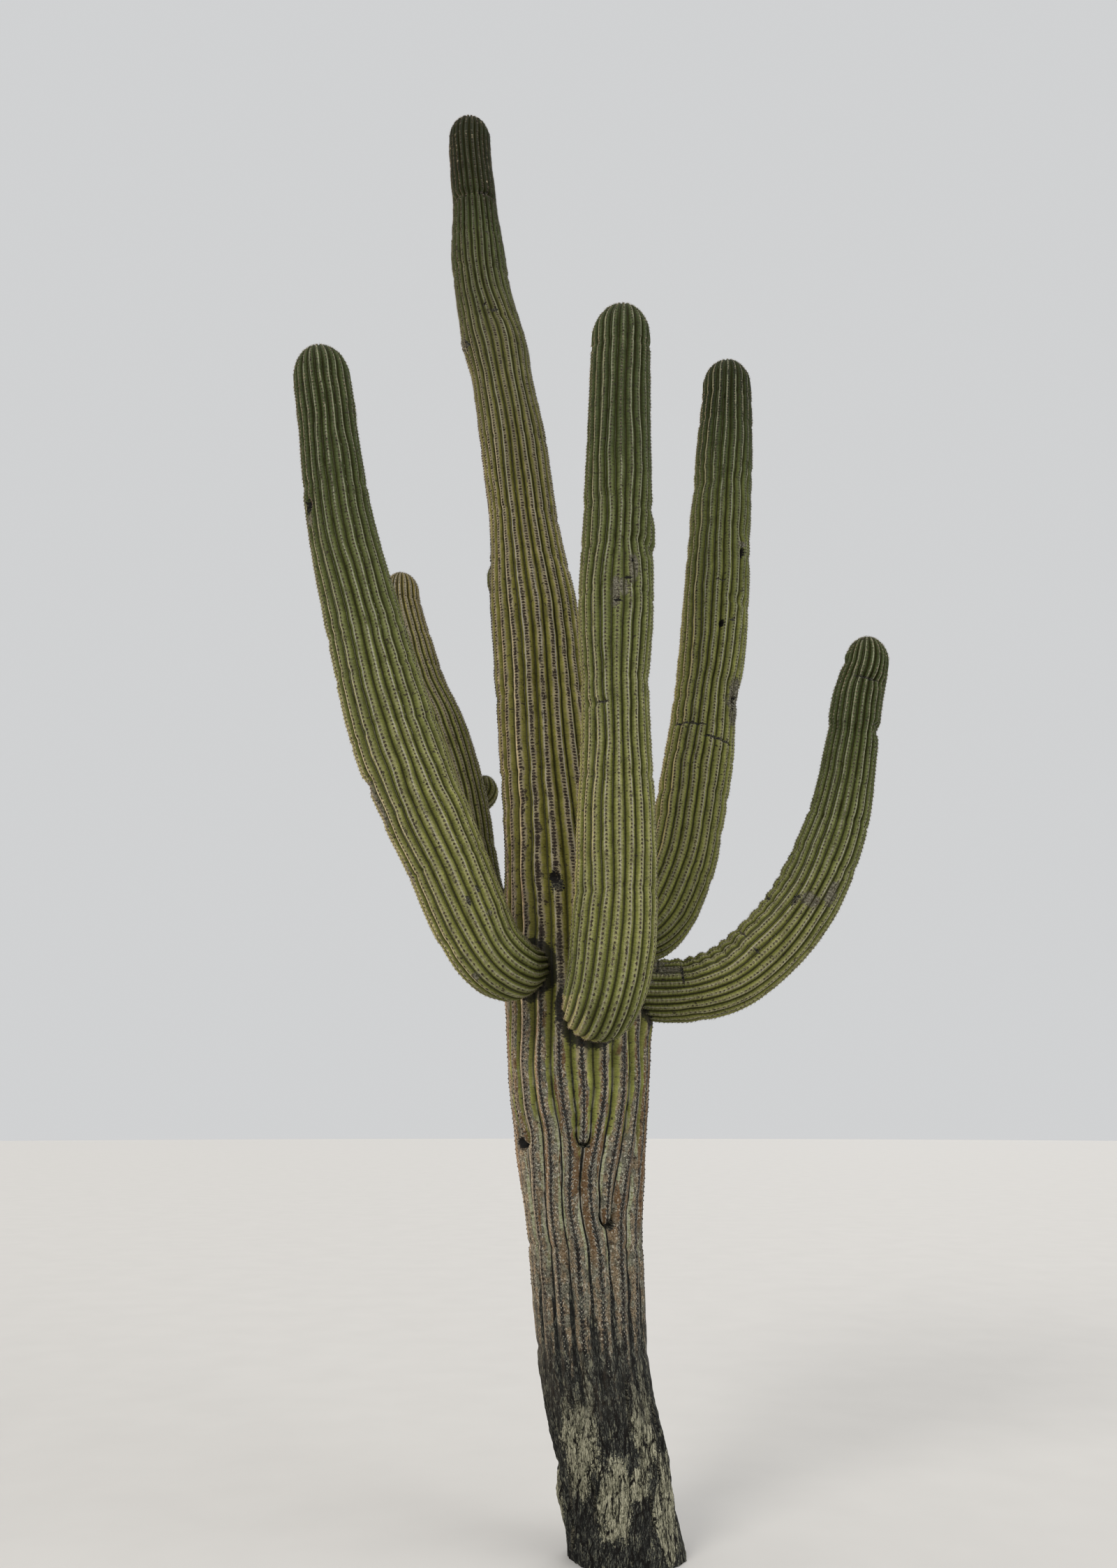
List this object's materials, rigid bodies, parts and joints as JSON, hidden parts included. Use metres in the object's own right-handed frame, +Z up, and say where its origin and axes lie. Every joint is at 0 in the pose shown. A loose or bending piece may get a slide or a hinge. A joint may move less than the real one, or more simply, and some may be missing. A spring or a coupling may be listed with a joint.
{
  "type": "saguaro cactus",
  "caption": "Tall ribbed desert cactus: a leaning trunk on a flat foot, with upward curving arms and small buds, fixed in the ground.",
  "frame": {"origin": "middle of the flat cut under the trunk, at ground level", "axes": "+Z up along the plant's height, +X to the right and +Y to the back as the plant is seen from its front"},
  "size_m": [2.5642, 1.3043, 6.605],
  "materials": {
    "trunk_skin": "waxy yellow-green skin that turns to grey-brown cracked bark near the ground",
    "arm_skin": "waxy grey-green skin",
    "elbow_skin": "waxy olive-green skin",
    "bud_skin": "young yellow-green skin"
  },
  "bodies": {
    "root": {"trunk": "trunk_skin", "front_arm_elbow": "elbow_skin", "front_arm": "arm_skin", "left_arm_elbow": "elbow_skin", "left_arm": "arm_skin", "rear_arm_elbow": "elbow_skin", "rear_arm": "arm_skin", "right_arm_elbow": "elbow_skin", "right_arm": "arm_skin", "far_arm_root": "elbow_skin", "far_arm_elbow": "elbow_skin", "far_arm": "arm_skin", "rear_arm_bud": "bud_skin", "trunk_bud": "bud_skin"}
  },
  "joints": []
}
